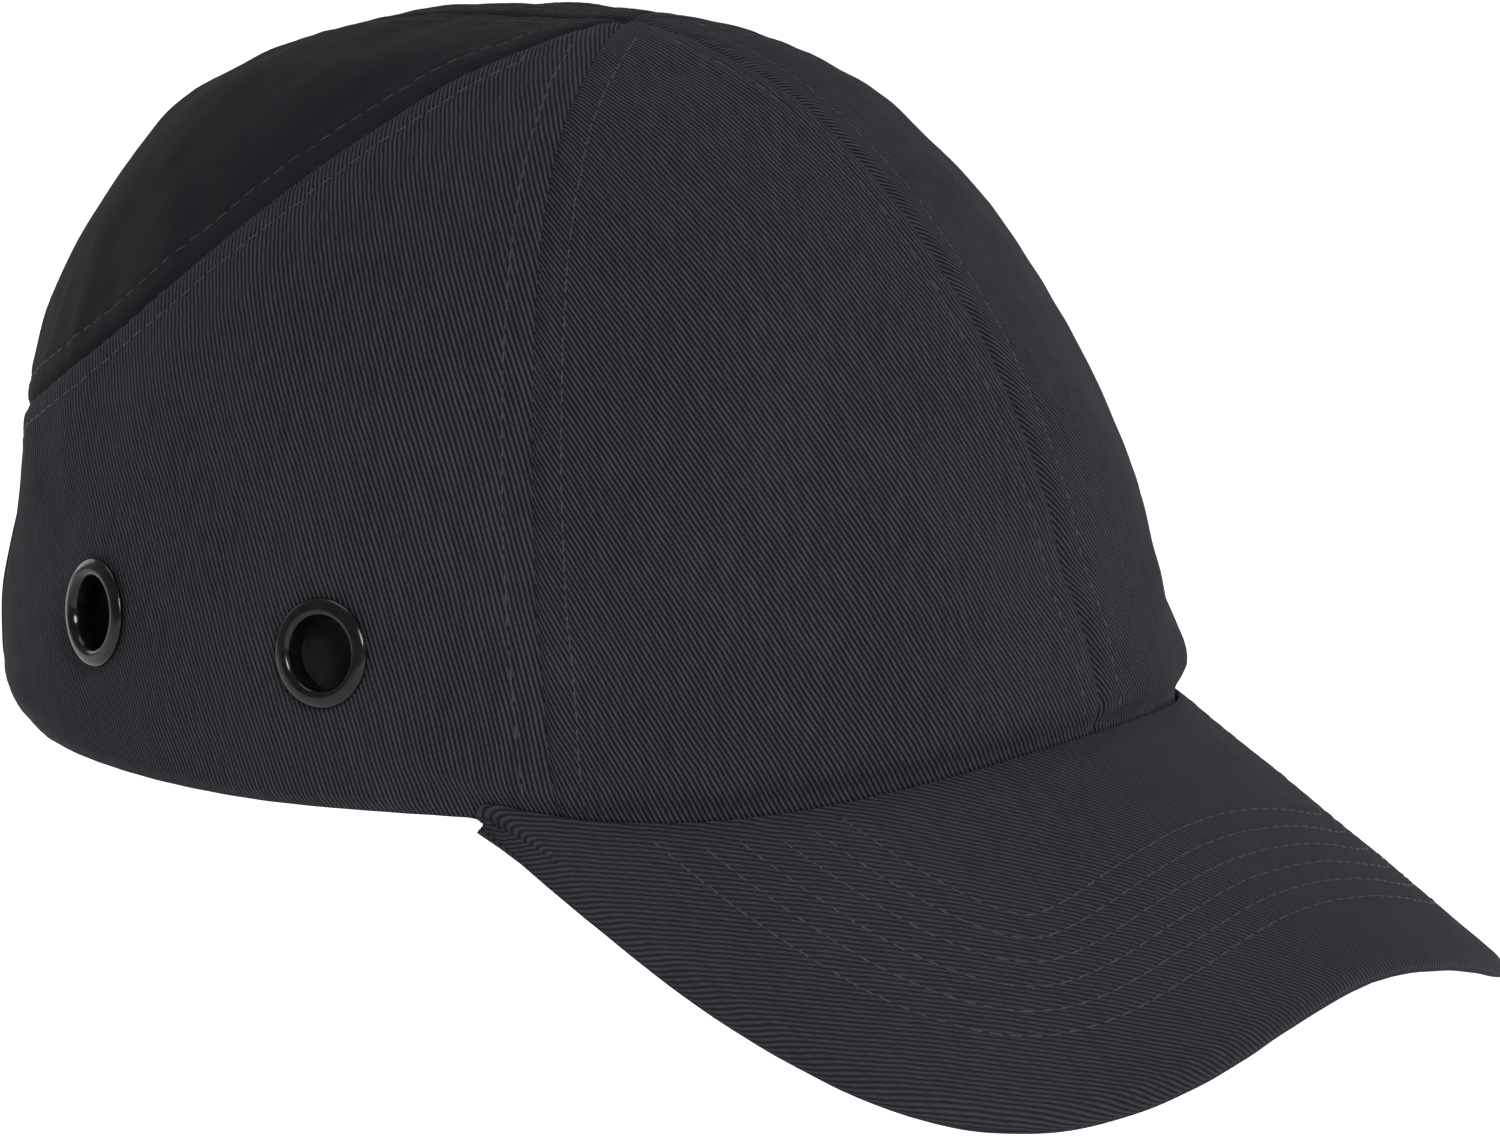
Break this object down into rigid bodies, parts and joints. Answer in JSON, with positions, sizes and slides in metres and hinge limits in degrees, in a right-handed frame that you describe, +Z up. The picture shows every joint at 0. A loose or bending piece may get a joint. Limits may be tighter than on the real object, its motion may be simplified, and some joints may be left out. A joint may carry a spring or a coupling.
{
  "type": "bump cap",
  "caption": "Six-panel fabric bump cap with a curved visor, rear hook-and-loop strap, side eyelets and a removable padded impact shell.",
  "frame": {"origin": "centre of the head opening, in the plane of the rim", "axes": "+Z up through the crown, -Y forward over the visor, +X to the wearer's left"},
  "size_m": [0.1848, 0.2808, 0.1728],
  "materials": {
    "twill": "matt cotton twill, charcoal",
    "dark_twill": "matt fine twill, near black",
    "seam_tape": "matt woven tape",
    "sweatband_cloth": "matt brushed cloth",
    "foam": "matt closed-cell foam",
    "visor_plastic": "matt sheet plastic",
    "shell_plastic": "satin moulded plastic",
    "eyelet_metal": "gloss black enamel",
    "hook_pile": "hook tape",
    "loop_pile": "brushed loop tape"
  },
  "bodies": {
    "cover": {"front_panel_right": "twill", "front_panel_left": "twill", "side_panel_right": "twill", "side_panel_left": "twill", "visor_top_cover": "twill", "visor_under_cover": "twill", "loop_strap": "twill", "rear_crown_panel_right": "dark_twill", "rear_crown_panel_left": "dark_twill", "centre_seam_tape": "seam_tape", "side_seam_tape_right": "seam_tape", "side_seam_tape_left": "seam_tape", "rear_seam_tape_right": "seam_tape", "rear_seam_tape_left": "seam_tape", "rear_opening_binding": "seam_tape", "hem_tape": "seam_tape", "sweatband": "sweatband_cloth", "sweatband_foam": "foam", "visor_board": "visor_plastic", "eyelet_right_front": "eyelet_metal", "eyelet_right_rear": "eyelet_metal", "eyelet_left_front": "eyelet_metal", "eyelet_left_rear": "eyelet_metal", "eyelet_washer_right_front": "eyelet_metal", "eyelet_washer_right_rear": "eyelet_metal", "eyelet_washer_left_front": "eyelet_metal", "eyelet_washer_left_rear": "eyelet_metal", "loop_tape": "loop_pile"},
    "insert": {"inner_shell": "shell_plastic", "crown_pad": "foam", "front_pad": "foam", "rear_pad": "foam", "left_pad": "foam", "right_pad": "foam"},
    "strap_root": {"strap_root": "twill"},
    "strap_tab": {"strap_tab": "twill", "hook_tape": "hook_pile"}
  },
  "joints": [
    {"name": "insert_slide", "type": "slide", "parent": "cover", "child": "insert", "axis": [0, 0, -1], "range_m": [0, 0.16]},
    {"name": "strap_adjust", "type": "hinge", "parent": "cover", "child": "strap_root", "pos_m": [0, 0.03469, 0.015], "axis": [0, 0, -1], "range_deg": [-9, 8]},
    {"name": "strap_peel", "type": "hinge", "parent": "strap_root", "child": "strap_tab", "pos_m": [-0.0278, 0.1036, 0.015], "axis": [0, 0, 1], "range_deg": [0, 85]}
  ]
}
